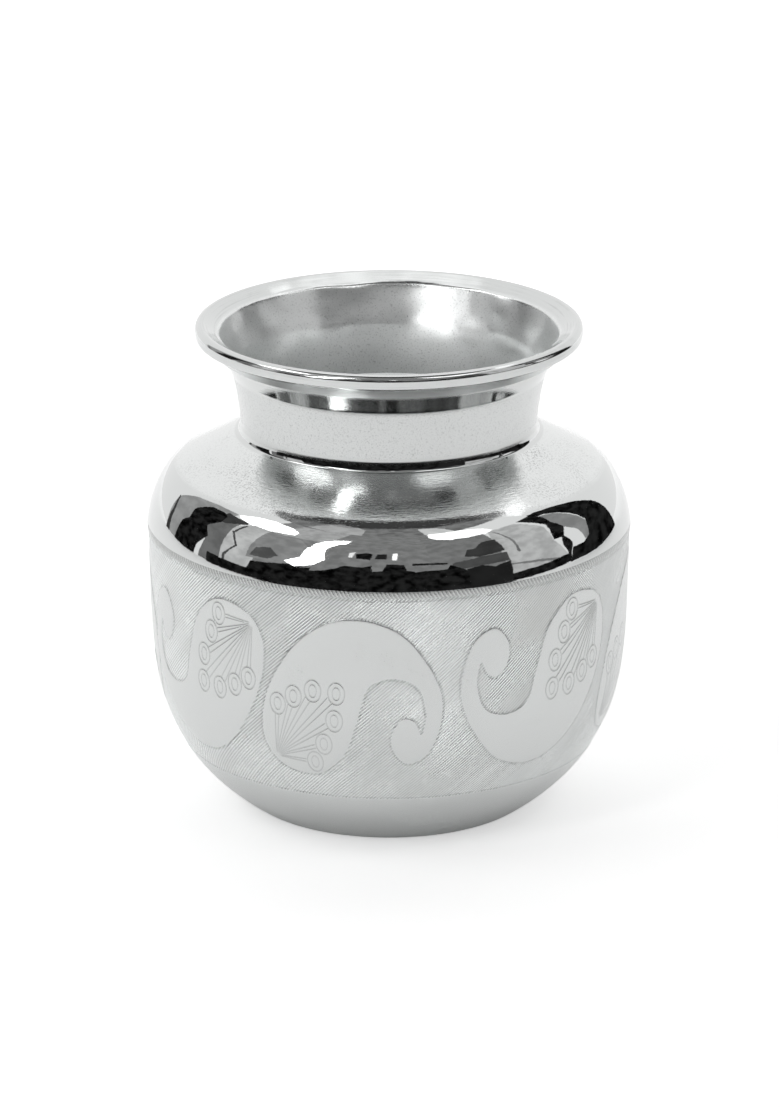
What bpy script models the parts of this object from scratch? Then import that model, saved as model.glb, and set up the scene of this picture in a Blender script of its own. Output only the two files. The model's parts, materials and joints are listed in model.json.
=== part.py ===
"""Kalash pot of stainless steel sheet: a drawn bowl, a drawn shoulder and a spun neck collar, butt welded.

Metres, +Z up. The pot turns about Z and stands on z = 0.
"""

import math

import bmesh
import bpy
import numpy as np

MM = 0.001

# Sheet and joints
WALL = 0.7 * MM
CLEARANCE = 0.3 * MM  # between a weld and the sheet on either side of it
WELD_WIDTH = 0.9 * MM  # the weld's height along the pot's axis
WELD_ROOT = 0.25 * MM  # how far a weld stands proud on the inside

# Bowl
RESTING_RADIUS = 29.5 * MM  # outer edge of the flat ring that the pot stands on
RESTING_WIDTH = 6.5 * MM  # width of that ring
BASE_RECESS = 0.8 * MM  # how far the middle of the base is pressed up
BASE_SLOPE_WIDTH = 5.0 * MM  # width of the step from the ring up to the recess
BASE_CORNER = 6.1 * MM  # radius of the corner between the base and the side
BASE_RISE = 34.6  # degrees above the horizontal, where the side leaves the corner
BOWL_FULLNESS = 30.4 * MM  # how far the side holds the slope that it leaves the base with
BELT_FULLNESS = 26.3 * MM  # how far the side holds the slope that it reaches the seam with
BELT_LEAN = 3.5  # degrees outwards from the vertical, at the seam
SEAM_HEIGHT = 65.8 * MM

# Shoulder
BELLY_RADIUS = 55.0 * MM  # the widest radius, outside
CROWN_BELOW_SEAM = 3.1 * MM  # the shoulder's curve would be vertical this far under the seam
SHOULDER_DEPTH = 12.3 * MM  # radial half axis of the shoulder's ellipse
SHOULDER_RISE = 19.3 * MM  # vertical half axis of the shoulder's ellipse
CONE_SLOPE = 27.3  # degrees above the horizontal, from the ellipse to the neck
CREASE_RADIUS = 0.7 * MM  # hollow corner between the cone and the flange, outside
FLANGE_SLOPE = 102.0  # degrees above the horizontal: the flange that carries the collar leans inwards
FLANGE_HEIGHT = 2.1 * MM  # from where its line meets the cone's up to the middle of the neck weld

# Neck collar: the neck flares into a lip, which is rolled down and tucked back under itself
NECK_RADIUS = 33.5 * MM  # outside, at the neck weld
NECK_SLOPE = 85.3  # degrees above the horizontal, at the bottom of the neck
COLLAR_HEIGHT = 22.8 * MM  # from the middle of the neck weld to the top of the lip
LIP_OVERHANG = 10.2 * MM  # from the neck weld out to the lip's edge
FLARE_START_SLOPE = 75.0  # degrees above the horizontal, where the neck bends into the flare
FLARE_SLOPE = 63.0  # degrees above the horizontal, along the flare
FLARE_RADIUS = 10.0 * MM  # of the bend between the neck and the flare
FLARE_LENGTH = 9.0 * MM
LIP_SLOPE = 30.0  # degrees above the horizontal, along the lip's upper band
LIP_WIDTH = 1.6 * MM  # straight part of that band
LIP_BEND_RADIUS = 2.2 * MM  # of the bend between the flare and the band
ROLL_RADIUS = 1.4 * MM  # outer radius of the bend from the band down to the lip's face
FACE_LEAN = 4.0  # degrees that the lip's face leans inwards on its way down
FACE_HEIGHT = 1.1 * MM  # straight part of the face
HEM_RADIUS = 1.0 * MM  # outer radius of the bend from the face to the tucked edge
HEM_SLOPE = 22.0  # degrees below the horizontal, where the hem passes into the tuck
TUCK_SLOPE = 50.0  # degrees below the horizontal, at the tuck's free edge
TUCK_WIDTH = 4.05 * MM  # from the end of the hem in to the free edge
TUCK_DROP = 2.95 * MM  # from the end of the hem down to the free edge

# Engraved belt: its ground is cut back and the paisleys are left at the height of the sheet
BELT_DEPTH = 0.2 * MM
BELT_BOTTOM = 15.5 * MM  # height of the belt's lower edge
BELT_MARGIN = 0.4 * MM  # plain strip between the belt and the bowl's rim
MOTIF_DROP = 4.6 * MM  # from the belt's upper edge down to the paisleys
MOTIF_RISE = 6.1 * MM  # from the belt's lower edge up to the paisleys
MOTIF_SPAN = 44.6  # degrees round the pot that one paisley covers
MOTIF_TURNS = (-52.9, -9.5, 39.4, 85.1, 129.5, 173.9, 218.3, 262.7)  # degrees from the front, set by eye
MOTIF_POINTS = 64  # corners of a paisley's outline
CUTTER_REACH = 1.0 * MM  # how far a cutter stands out of what it cuts

# Facets
TURN_STEPS = 56
BOWL_SIDE_STEPS = 12
SHARP_ANGLE = 40.0

# Base colours of the steel, by finish
SATIN = (0.72, 0.72, 0.71)
POLISHED = (0.78, 0.78, 0.77)
WELD = (0.66, 0.66, 0.66)


def direction(degrees):
    """Unit vector in the profile plane, at an angle above the outward horizontal."""
    angle = math.radians(degrees)
    return np.array([math.cos(angle), math.sin(angle)])


def left_of(degrees):
    return direction(degrees + 90.0)


def arc(centre, radius, start, end, count):
    """Points of an arc, its start and end given as position angles in degrees."""
    return [centre + radius * direction(a) for a in np.linspace(start, end, count + 1)]


def bezier(p0, p1, p2, p3, count):
    points = []
    for t in np.linspace(0.0, 1.0, count + 1):
        s = 1.0 - t
        points.append(s**3 * p0 + 3 * s * s * t * p1 + 3 * s * t * t * p2 + t**3 * p3)
    return points


def joined(*stretches):
    """One line from stretches that start where the last one ended."""
    line = list(stretches[0])
    for stretch in stretches[1:]:
        line += list(stretch)[1:]
    return line


def offset(line, distance):
    """The line moved sideways: to its left when the distance is positive, with corners mitred."""
    points = np.array(line)
    steps = np.diff(points, axis=0)
    steps /= np.linalg.norm(steps, axis=1)[:, None]
    normals = np.stack([-steps[:, 1], steps[:, 0]], axis=1)
    before = np.vstack([normals[:1], normals])
    after = np.vstack([normals, normals[-1:]])
    mitre = before + after
    mitre /= (mitre * before).sum(axis=1)[:, None]
    return list(points + distance * mitre)


def paisley():
    """Outline of an upright paisley as shares of its half width and half height.

    It runs from the notch behind the curl, over the inner arch, round the lobe and back over the top.
    """
    knots = np.array([
        (0.78, -0.44), (0.82, -0.16), (0.73, 0.16), (0.47, 0.28), (0.21, 0.16), (0.09, -0.24),
        (-0.05, -0.68), (-0.33, -0.97), (-0.62, -0.99), (-0.88, -0.85), (-1.0, -0.52), (-0.92, 0.0),
        (-0.64, 0.55), (-0.26, 0.91), (0.14, 0.99), (0.54, 0.83), (0.82, 0.47), (0.98, 0.08),
        (0.98, -0.32), (0.85, -0.68), (0.63, -0.81), (0.47, -0.63), (0.46, -0.4), (0.57, -0.22),
        (0.7, -0.26), (0.78, -0.44),
    ])
    before = np.vstack([2 * knots[0] - knots[1], knots[:-1]])
    after = np.vstack([knots[1:], 2 * knots[-1] - knots[-2]])
    slopes = (after - before) / 2
    places = np.linspace(0.0, len(knots) - 1, MOTIF_POINTS + 1)[:-1]
    return np.array([spline_point(knots, slopes, place) for place in places])


def spline_point(knots, slopes, place):
    """Point of a smooth curve through the knots, at a place counted in knots."""
    i = min(int(place), len(knots) - 2)
    t = place - i
    start = (1 + 2 * t) * (1 - t) ** 2 * knots[i] + t * (1 - t) ** 2 * slopes[i]
    return start + t * t * (3 - 2 * t) * knots[i + 1] + t * t * (t - 1) * slopes[i + 1]


def base_line():
    """Underside of the base, from the axis out to the edge of the resting ring."""
    ring_inner = RESTING_RADIUS - RESTING_WIDTH
    step_inner = ring_inner - BASE_SLOPE_WIDTH
    middle = np.array([0.0, BASE_RECESS])
    high = np.array([step_inner, BASE_RECESS])
    low = np.array([ring_inner, 0.0])
    handle = np.array([BASE_SLOPE_WIDTH / 2, 0.0])
    edge = np.array([RESTING_RADIUS, 0.0])
    return joined([middle, high], bezier(high, high + handle, low - handle, low, 4), [low, edge])


def shoulder_angle(height):
    """Angle on the shoulder's ellipse at a height, in radians."""
    return math.asin((height - SEAM_HEIGHT + CROWN_BELOW_SEAM) / SHOULDER_RISE)


def shoulder_point(angle):
    radius = BELLY_RADIUS - SHOULDER_DEPTH * (1.0 - math.cos(angle))
    height = SEAM_HEIGHT - CROWN_BELOW_SEAM + SHOULDER_RISE * math.sin(angle)
    return np.array([radius, height])


def cone_start_angle():
    slope = math.tan(math.radians(CONE_SLOPE))
    return math.atan2(SHOULDER_RISE, SHOULDER_DEPTH * slope)


def flange_foot():
    """Where the flange's line would meet the cone's line, without the crease."""
    start = shoulder_point(cone_start_angle())
    radius = NECK_RADIUS - FLANGE_HEIGHT / math.tan(math.radians(FLANGE_SLOPE))
    rise = (start[0] - radius) * math.tan(math.radians(CONE_SLOPE))
    return np.array([radius, start[1] + rise])


def neck_weld_middle():
    return np.array([NECK_RADIUS, flange_foot()[1] + FLANGE_HEIGHT])


def seam_point():
    return shoulder_point(shoulder_angle(SEAM_HEIGHT))


def half_weld():
    """From the middle of a weld to the edge of the sheet."""
    return WELD_WIDTH / 2 + CLEARANCE


def belt_top():
    """Height of the belt's upper edge."""
    return seam_point()[1] - half_weld() - BELT_MARGIN


def bowl_line():
    """Outside of the bowl, from the middle of the base up to its rim."""
    corner_centre = np.array([RESTING_RADIUS, BASE_CORNER])
    corner = arc(corner_centre, BASE_CORNER, -90.0, -90.0 + BASE_RISE, 3)
    rim = seam_point() - half_weld() * direction(90.0 - BELT_LEAN)
    side = bezier(
        corner[-1],
        corner[-1] + BOWL_FULLNESS * direction(BASE_RISE),
        rim - BELT_FULLNESS * direction(90.0 - BELT_LEAN),
        rim,
        BOWL_SIDE_STEPS,
    )
    return joined(base_line(), corner, side)


def shoulder_line():
    """Outside of the shoulder, from its lower edge to the top of the flange under the collar."""
    first = shoulder_angle(SEAM_HEIGHT + half_weld())
    angles = np.linspace(first, cone_start_angle(), 9)
    ellipse = [shoulder_point(a) for a in angles]
    turn = 180.0 - CONE_SLOPE - FLANGE_SLOPE
    tangent = CREASE_RADIUS * math.tan(math.radians(turn / 2))
    flange_tangent = flange_foot() + tangent * direction(FLANGE_SLOPE)
    centre = flange_tangent - CREASE_RADIUS * left_of(FLANGE_SLOPE)
    crease = arc(centre, CREASE_RADIUS, 270.0 - CONE_SLOPE, 90.0 + FLANGE_SLOPE, 4)
    flange = neck_weld_middle() - half_weld() * direction(FLANGE_SLOPE)
    return joined(ellipse, [ellipse[-1]] + crease, [crease[-1], flange])


def collar_line():
    """Inside of the collar, from its foot up the neck, over the lip and back under to its free edge."""
    lip_edge = NECK_RADIUS + LIP_OVERHANG
    lip_top = neck_weld_middle()[1] + COLLAR_HEIGHT
    roll_centre = np.array([lip_edge - ROLL_RADIUS, lip_top - ROLL_RADIUS])
    roll = arc(roll_centre, ROLL_RADIUS, 90.0 + LIP_SLOPE, -FACE_LEAN, 6)
    face_end = roll[-1] + FACE_HEIGHT * direction(-90.0 - FACE_LEAN)
    hem_centre = face_end - HEM_RADIUS * direction(-FACE_LEAN)
    hem = arc(hem_centre, HEM_RADIUS, -FACE_LEAN, HEM_SLOPE - 90.0, 3)
    free_edge = hem[-1] - np.array([TUCK_WIDTH, TUCK_DROP])
    reach = np.linalg.norm(free_edge - hem[-1]) / 3
    tuck = bezier(
        hem[-1],
        hem[-1] - reach * direction(HEM_SLOPE),
        free_edge + reach * direction(TUCK_SLOPE),
        free_edge,
        3,
    )

    bend_end = roll[0] - LIP_WIDTH * direction(LIP_SLOPE)
    bend_centre = bend_end - LIP_BEND_RADIUS * left_of(LIP_SLOPE)
    bend = arc(bend_centre, LIP_BEND_RADIUS, 90.0 + FLARE_SLOPE, 90.0 + LIP_SLOPE, 2)
    flare_start = bend[0] - FLARE_LENGTH * direction(FLARE_SLOPE)
    flare_centre = flare_start - FLARE_RADIUS * left_of(FLARE_SLOPE)
    flare = arc(flare_centre, FLARE_RADIUS, 90.0 + FLARE_START_SLOPE, 90.0 + FLARE_SLOPE, 2)

    foot = neck_weld_middle() + half_weld() * direction(NECK_SLOPE) + WALL * left_of(NECK_SLOPE)
    handle = np.linalg.norm(flare[0] - foot) / 3
    neck = bezier(
        foot,
        foot + handle * direction(NECK_SLOPE),
        flare[0] - handle * direction(FLARE_START_SLOPE),
        flare[0],
        3,
    )
    return joined(neck, flare, [flare[-1]] + bend, [bend[-1]] + roll, [roll[-1]] + hem, tuck)


def weld_section(middle, low_slope, high_slope):
    """Closed outline of a butt weld, flush with the sheets that slope away below and above, proud inside."""
    low = middle - WELD_WIDTH / 2 * direction(low_slope)
    high = middle + WELD_WIDTH / 2 * direction(high_slope)
    low_inner = low + WALL * left_of(low_slope)
    high_inner = high + WALL * left_of(high_slope)
    root = (low_inner + high_inner) / 2 + WELD_ROOT * left_of(90.0)
    return [high, middle, low, low_inner, root, high_inner]


def between(line, low, high):
    """The stretch of a rising line between two heights."""
    heights = np.array([point[1] for point in line])
    radii = np.array([point[0] for point in line])
    inside = [point for point in line if low < point[1] < high]
    ends = [np.array([np.interp(z, heights, radii), z]) for z in (low, high)]
    return [ends[0]] + inside + [ends[1]]


def turned(name, outline, closed, collection):
    """A solid of revolution about Z from an outline in the XZ plane."""
    mesh = bpy.data.meshes.new(name)
    vertices = [(float(r), 0.0, float(z)) for r, z in outline]
    count = len(vertices)
    edges = [(i, (i + 1) % count) for i in range(count if closed else count - 1)]
    mesh.from_pydata(vertices, edges, [])
    piece = bpy.data.objects.new(name, mesh)
    collection.objects.link(piece)
    screw = piece.modifiers.new("Turn", "SCREW")
    screw.axis = "Z"
    screw.steps = TURN_STEPS
    screw.render_steps = TURN_STEPS
    screw.use_merge_vertices = True
    screw.merge_threshold = 0.00001
    screw.use_smooth_shade = True
    return piece


def finish(piece, colour, roughness):
    """Gives the piece its steel, and keeps its mesh as modelled with the edges of the sheet sharp."""
    graph = bpy.context.evaluated_depsgraph_get()
    mesh = bpy.data.meshes.new_from_object(piece.evaluated_get(graph))
    piece.modifiers.clear()
    piece.data = mesh
    mesh.materials.append(steel(piece.name, colour, roughness))
    mesh.shade_smooth()
    mesh.set_sharp_from_angle(angle=math.radians(SHARP_ANGLE))


def steel(name, colour, roughness):
    material = bpy.data.materials.new(name + "_steel")
    material.use_nodes = True
    shader = material.node_tree.nodes["Principled BSDF"]
    shader.inputs["Base Color"].default_value = (*colour, 1.0)
    shader.inputs["Metallic"].default_value = 1.0
    shader.inputs["Roughness"].default_value = roughness
    material.diffuse_color = (*colour, 1.0)
    return material


def cut(piece, cutter):
    boolean = piece.modifiers.new(cutter.name, "BOOLEAN")
    boolean.operation = "DIFFERENCE"
    boolean.solver = "EXACT"
    boolean.object = cutter


def hide(cutter):
    cutter.hide_render = True
    cutter.display_type = "WIRE"


def make_paisley_block(number, turn):
    """A block with a paisley's outline that stands through the belt, every second one upside down."""
    width = math.radians(MOTIF_SPAN) * BELLY_RADIUS
    top = belt_top() - MOTIF_DROP
    bottom = BELT_BOTTOM + MOTIF_RISE
    flip = 1 if number % 2 else -1
    curve = bpy.data.curves.new("paisley_outline", "CURVE")
    curve.dimensions = "2D"
    curve.fill_mode = "BOTH"
    curve.extrude = BELLY_RADIUS / 2
    outline = curve.splines.new("POLY")
    points = paisley() * (flip * width / 2, flip * (top - bottom) / 2)
    outline.points.add(len(points) - 1)
    for point, (x, y) in zip(outline.points, points):
        across = BELLY_RADIUS * math.sin(x / BELLY_RADIUS)
        point.co = (across, y, 0.0, 1.0)
    outline.use_cyclic_u = True
    flat = bpy.data.objects.new("paisley_curve", curve)
    cutters.objects.link(flat)
    angle = math.radians(turn)
    middle = (top + bottom) / 2
    flat.rotation_euler = (math.pi / 2, 0.0, angle)
    flat.location = (BELLY_RADIUS * math.sin(angle), -BELLY_RADIUS * math.cos(angle), middle)
    bpy.context.view_layer.update()
    mesh = bpy.data.meshes.new_from_object(flat.evaluated_get(bpy.context.evaluated_depsgraph_get()))
    edit = bmesh.new()
    edit.from_mesh(mesh)
    bmesh.ops.remove_doubles(edit, verts=edit.verts, dist=0.00001)
    edit.to_mesh(mesh)
    edit.free()
    block = bpy.data.objects.new(f"paisley_block_{number}", mesh)
    block.matrix_world = flat.matrix_world
    bpy.data.objects.remove(flat)
    cutters.objects.link(block)
    hide(block)
    return block


def make_belt_cutter():
    """What the graver takes off the bowl: a thin ring with the paisleys left standing."""
    line = bowl_line()
    belt = between(line[-BOWL_SIDE_STEPS:], BELT_BOTTOM, belt_top())
    outline = list(reversed(offset(belt, -CUTTER_REACH))) + offset(belt, BELT_DEPTH)
    ring = turned("belt_cutter", outline, True, cutters)
    for number, turn in enumerate(MOTIF_TURNS):
        cut(ring, make_paisley_block(number, turn))
    hide(ring)
    return ring


def make_bowl():
    line = bowl_line()
    bowl = turned("bowl", offset(line, WALL) + list(reversed(line)), False, parts)
    cut(bowl, make_belt_cutter())
    finish(bowl, SATIN, 0.32)


def make_belly_weld():
    weld = turned("belly_weld", weld_section(seam_point(), 90.0, 90.0), True, parts)
    finish(weld, WELD, 0.25)


def make_shoulder():
    line = shoulder_line()
    shoulder = turned("shoulder", list(reversed(line)) + offset(line, WALL), True, parts)
    finish(shoulder, POLISHED, 0.06)


def make_neck_weld():
    outline = weld_section(neck_weld_middle(), FLANGE_SLOPE, NECK_SLOPE)
    weld = turned("neck_weld", outline, True, parts)
    finish(weld, WELD, 0.25)


def make_collar():
    line = collar_line()
    collar = turned("neck_collar", list(reversed(offset(line, -WALL))) + line, True, parts)
    finish(collar, POLISHED, 0.1)


for old in list(bpy.data.objects):
    bpy.data.objects.remove(old)

parts = bpy.data.collections.new("kalash_pot")
cutters = bpy.data.collections.new("cutters")
bpy.context.scene.collection.children.link(parts)
bpy.context.scene.collection.children.link(cutters)

for make in (make_bowl, make_belly_weld, make_shoulder, make_neck_weld, make_collar):
    make()
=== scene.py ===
import json
import math

import bpy
import numpy as np
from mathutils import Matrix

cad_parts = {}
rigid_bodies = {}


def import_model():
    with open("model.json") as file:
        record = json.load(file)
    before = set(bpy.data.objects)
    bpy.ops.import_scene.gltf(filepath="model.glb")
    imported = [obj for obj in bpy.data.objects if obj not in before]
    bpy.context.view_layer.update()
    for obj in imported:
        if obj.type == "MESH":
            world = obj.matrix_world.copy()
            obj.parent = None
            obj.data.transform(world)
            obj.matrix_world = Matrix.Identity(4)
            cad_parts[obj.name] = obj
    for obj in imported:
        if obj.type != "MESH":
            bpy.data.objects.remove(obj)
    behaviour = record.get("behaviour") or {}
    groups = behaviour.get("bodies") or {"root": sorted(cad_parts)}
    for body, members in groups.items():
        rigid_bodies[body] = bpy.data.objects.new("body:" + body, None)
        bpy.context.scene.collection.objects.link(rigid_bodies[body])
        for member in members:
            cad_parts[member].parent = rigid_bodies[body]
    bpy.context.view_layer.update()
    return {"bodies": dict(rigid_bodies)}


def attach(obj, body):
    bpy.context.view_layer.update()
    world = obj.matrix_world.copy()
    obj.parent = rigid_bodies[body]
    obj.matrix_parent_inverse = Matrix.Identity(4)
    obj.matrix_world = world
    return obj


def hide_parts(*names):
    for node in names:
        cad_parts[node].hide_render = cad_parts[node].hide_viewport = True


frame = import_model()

mm = 0.001
onePoint = 0.001 * mm  # points closer than this are merged
smoothAngle = math.radians(40.0)
potBody = next(iter(frame["bodies"]))

# The sheet and the welds, the same sizes as the solids
sheet = {
    "wall": 0.7 * mm,
    "gap": 0.3 * mm,  # between weld and sheet in the solids, closed by the ground weld here
    "weldWidth": 0.9 * mm,
    "weldRoot": 0.25 * mm,
}


# Lines in the plane of a section: x is the radius and y the height

def direction(degrees):
    angle = math.radians(degrees)
    return np.array([math.cos(angle), math.sin(angle)])


def leftOf(degrees):
    return direction(degrees + 90.0)


def arcLine(centre, radius, start, end, count):
    return [centre + radius * direction(a) for a in np.linspace(start, end, count + 1)]


def curveLine(p0, p1, p2, p3, count):
    t = np.linspace(0.0, 1.0, count + 1)[:, None]
    s = 1.0 - t
    return list(s**3 * p0 + 3 * s * s * t * p1 + 3 * s * t * t * p2 + t**3 * p3)


def joinLines(*stretches):
    line = list(stretches[0])
    for stretch in stretches[1:]:
        line += list(stretch)[1:]
    return line


def offsetLine(line, distance):
    # moved sideways, to the left of the line when the distance is positive
    points = np.array(line)
    steps = np.diff(points, axis=0)
    steps /= np.linalg.norm(steps, axis=1)[:, None]
    normals = np.stack([-steps[:, 1], steps[:, 0]], axis=1)
    before = np.vstack([normals[:1], normals])
    after = np.vstack([normals, normals[-1:]])
    mitre = before + after
    mitre /= (mitre * before).sum(axis=1)[:, None]
    return list(points + distance * mitre)


def spaceLine(line, gap):
    # the same line with its points a steady distance apart
    points = np.array(line)
    along = np.r_[0.0, np.cumsum(np.linalg.norm(np.diff(points, axis=0), axis=1))]
    places = np.linspace(0.0, along[-1], max(2, round(along[-1] / gap) + 1))
    return list(np.column_stack([np.interp(places, along, column) for column in points.T]))


# Meshes drawn in edit mode

def editAll():
    bpy.ops.object.mode_set(mode="EDIT")
    bpy.ops.mesh.select_all(action="SELECT")


def drawLine(name, points, closed=False):
    # a chain of edges, extruded point by point from one corner of a plane
    bpy.ops.object.select_all(action="DESELECT")
    bpy.ops.mesh.primitive_plane_add(size=mm, location=points[0])
    piece = bpy.context.active_object
    piece.name = name
    piece.data.name = name
    bpy.ops.object.transform_apply(location=True, rotation=False, scale=False)
    editAll()
    bpy.ops.mesh.merge(type="CENTER")
    for here, there in zip(points, points[1:]):
        step = tuple(float(b - a) for a, b in zip(here, there))
        bpy.ops.mesh.extrude_region_move(TRANSFORM_OT_translate={"value": step})
    bpy.ops.object.mode_set(mode="OBJECT")
    if closed:
        piece.data.vertices[0].select = True
        piece.data.vertices[len(points) - 1].select = True
        bpy.ops.object.mode_set(mode="EDIT")
        bpy.ops.mesh.edge_face_add()
        bpy.ops.object.mode_set(mode="OBJECT")
    return piece


def turnLine(name, line, steps, closed=False):
    # a piece turned about the pot's axis, its poles closed and its faces looking outwards
    piece = drawLine(name, [(float(r), 0.0, float(z)) for r, z in line], closed)
    turn = piece.modifiers.new("turn", "SCREW")
    turn.steps = steps
    turn.render_steps = steps
    turn.use_merge_vertices = True
    turn.merge_threshold = onePoint
    bpy.ops.object.modifier_apply(modifier=turn.name)
    editAll()
    bpy.ops.mesh.remove_doubles(threshold=onePoint)
    bpy.ops.mesh.normals_make_consistent(inside=False)
    bpy.ops.object.mode_set(mode="OBJECT")
    return piece


def splitFaces(piece, chosen):
    # cuts the chosen faces in four
    bpy.context.tool_settings.mesh_select_mode = (False, False, True)
    bpy.ops.object.mode_set(mode="EDIT")
    bpy.ops.mesh.select_all(action="DESELECT")
    bpy.ops.object.mode_set(mode="OBJECT")
    piece.data.polygons.foreach_set("select", chosen)
    bpy.ops.object.mode_set(mode="EDIT")
    bpy.ops.mesh.subdivide(number_cuts=1)
    bpy.ops.object.mode_set(mode="OBJECT")
    bpy.context.tool_settings.mesh_select_mode = (True, False, False)


def readNumbers(items, field, size=1, kind=int):
    numbers = np.zeros(len(items) * size, kind)
    items.foreach_get(field, numbers)
    return numbers


def vertexPlaces(mesh):
    return readNumbers(mesh.vertices, "co", 3, float).reshape(-1, 3)


def faceMiddles(mesh):
    return readNumbers(mesh.polygons, "center", 3, float).reshape(-1, 3)


def nearestOnLine(points, line):
    # for each point, how far it is from a section's line and how far along the line that is
    section = np.stack([np.hypot(points[:, 0], points[:, 1]), points[:, 2]], axis=1)
    nearest = np.full(len(points), np.inf)
    along = np.zeros(len(points))
    passed = 0.0
    for a, b in zip(line, line[1:]):
        edge = b - a
        share = np.clip((section - a) @ edge / (edge @ edge), 0.0, 1.0)
        gap = np.linalg.norm(section - a - share[:, None] * edge, axis=1)
        closer = gap < nearest
        nearest[closer] = gap[closer]
        along[closer] = passed + share[closer] * np.linalg.norm(edge)
        passed += np.linalg.norm(edge)
    return nearest, along


def outsideShare(points, outer):
    # 1 on the outside of a shell and 0 inside it
    nearest, _ = nearestOnLine(points, outer)
    return (nearest < sheet["wall"] / 2).astype(float)


def keepNumbers(mesh, name, numbers, domain="POINT"):
    # an attribute that the finish reads: one number or one vector at each point or corner
    kind, field = ("FLOAT", "value") if numbers.ndim == 1 else ("FLOAT_VECTOR", "vector")
    attribute = mesh.attributes.new(name, kind, domain)
    attribute.data.foreach_set(field, numbers.astype(np.float32).ravel())


def pushSurface(piece, name, shares, depth):
    # moves the surface along its normals, by a share of the depth at each point
    group = piece.vertex_groups.new(name=name)
    levels = 40
    level = np.rint(np.clip(shares, 0.0, 1.0) * levels).astype(int)
    for step in range(1, levels + 1):
        chosen = np.flatnonzero(level == step)
        if len(chosen):
            group.add(chosen.tolist(), step / levels, "REPLACE")
    push = piece.modifiers.new(name, "DISPLACE")
    push.strength = depth
    push.mid_level = 0.0
    push.vertex_group = name
    bpy.context.view_layer.objects.active = piece
    bpy.ops.object.modifier_apply(modifier=push.name)
    piece.vertex_groups.remove(piece.vertex_groups[name])


def softStep(low, high, values):
    t = np.clip((values - low) / (high - low), 0.0, 1.0)
    return t * t * (3.0 - 2.0 * t)


# Finishes: a class for the sums on sockets, and one for a material's nodes

class Reading:
    # what comes out of a socket, so that sums on it are written as sums
    def __init__(self, finish, socket):
        self.finish = finish
        self.socket = socket

    def sum(self, operation, *values):
        return self.finish.node("ShaderNodeMath", {"operation": operation}, dict(enumerate(values)))

    def __add__(self, other):
        return self.sum("ADD", self, other)

    __radd__ = __add__

    def __sub__(self, other):
        return self.sum("SUBTRACT", self, other)

    def __rsub__(self, other):
        return self.sum("SUBTRACT", other, self)

    def __mul__(self, other):
        return self.sum("MULTIPLY", self, other)

    __rmul__ = __mul__

    def __truediv__(self, other):
        return self.sum("DIVIDE", self, other)

    def __gt__(self, other):
        return self.sum("GREATER_THAN", self, other)

    def __abs__(self):
        return self.sum("ABSOLUTE", self)

    def root(self):
        return self.sum("SQRT", self)


class Finish:
    def __init__(self, name):
        self.material = bpy.data.materials.new(name)
        self.material.use_nodes = True
        self.tree = self.material.node_tree
        self.shader = self.tree.nodes["Principled BSDF"]

    def node(self, kind, settings, sockets, output=0):
        made = self.tree.nodes.new(kind)
        for setting, value in settings.items():
            setattr(made, setting, value)
        for socket, value in sockets.items():
            self.feed(made.inputs[socket], value)
        return Reading(self, made.outputs[output])

    def feed(self, socket, value):
        if isinstance(value, Reading):
            self.tree.links.new(value.socket, socket)
        else:
            socket.default_value = value

    def split(self, vector):
        # a vector's three numbers
        parts = self.node("ShaderNodeSeparateXYZ", {}, {0: vector}).socket.node
        return [Reading(self, output) for output in parts.outputs]

    def place(self):
        # where a point is, in millimetres, as x, y and z
        place = self.node("ShaderNodeTexCoord", {}, {}, "Object")
        scaled = self.node("ShaderNodeVectorMath", {"operation": "SCALE"}, {0: place, "Scale": 1 / mm})
        return self.split(scaled)

    def vector(self, x, y, z):
        return self.node("ShaderNodeCombineXYZ", {}, {0: x, 1: y, 2: z})

    def noise(self, vector, scale, detail=2.0, roughness=0.5):
        sockets = {"Vector": vector, "Scale": scale, "Detail": detail, "Roughness": roughness}
        return self.node("ShaderNodeTexNoise", {}, sockets)

    def attribute(self, name, output="Fac"):
        return self.node("ShaderNodeAttribute", {"attribute_name": name}, {}, output)

    def ease(self, value, low, high, start=0.0, end=1.0):
        # a smooth change from start to end while the value goes from low to high
        sockets = {"Value": value, 1: low, 2: high, 3: start, 4: end}
        return self.node("ShaderNodeMapRange", {"interpolation_type": "SMOOTHSTEP"}, sockets)

    def blend(self, share, first, second):
        # from the first colour to the second
        return self.node("ShaderNodeMix", {"data_type": "RGBA"}, {0: share, 6: first, 7: second}, 2)

    def bump(self, height):
        # the height is in millimetres
        sockets = {"Strength": 1.0, "Distance": mm, "Height": height}
        self.shade({"Normal": self.node("ShaderNodeBump", {}, sockets)})

    def shade(self, sockets):
        for socket, value in sockets.items():
            self.feed(self.shader.inputs[socket], value)

    def metal(self, colour, roughness):
        self.shade({"Metallic": 1.0, "Base Color": colour, "Roughness": roughness})


def aroundAndAlong(finish):
    # the place on a turned piece: x, y, z, its radius and a steady count along its section
    x, y, z = finish.place()
    radius = (x * x + y * y).root()
    return x, y, z, radius, z - radius


def turnFromFront(x, y):
    return x.sum("ARCTAN2", x, y * -1.0)


def polishLines(finish, x, y, radius, along, fineness, reach):
    # rings left by the polishing wheel: much longer round the pot than they are wide
    vector = finish.vector(x / radius * reach, y / radius * reach, along * fineness)
    return finish.noise(vector, 1.0, 3.0, 0.6) - 0.5


def finishPiece(piece, finish, slot, *nodes):
    piece.data.materials.clear()
    piece.data.materials.append(finish.material)
    bpy.ops.object.select_all(action="DESELECT")
    bpy.context.view_layer.objects.active = piece
    piece.select_set(True)
    bpy.ops.object.shade_smooth_by_angle(angle=smoothAngle)
    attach(piece, potBody)
    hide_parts(*nodes)


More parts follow.
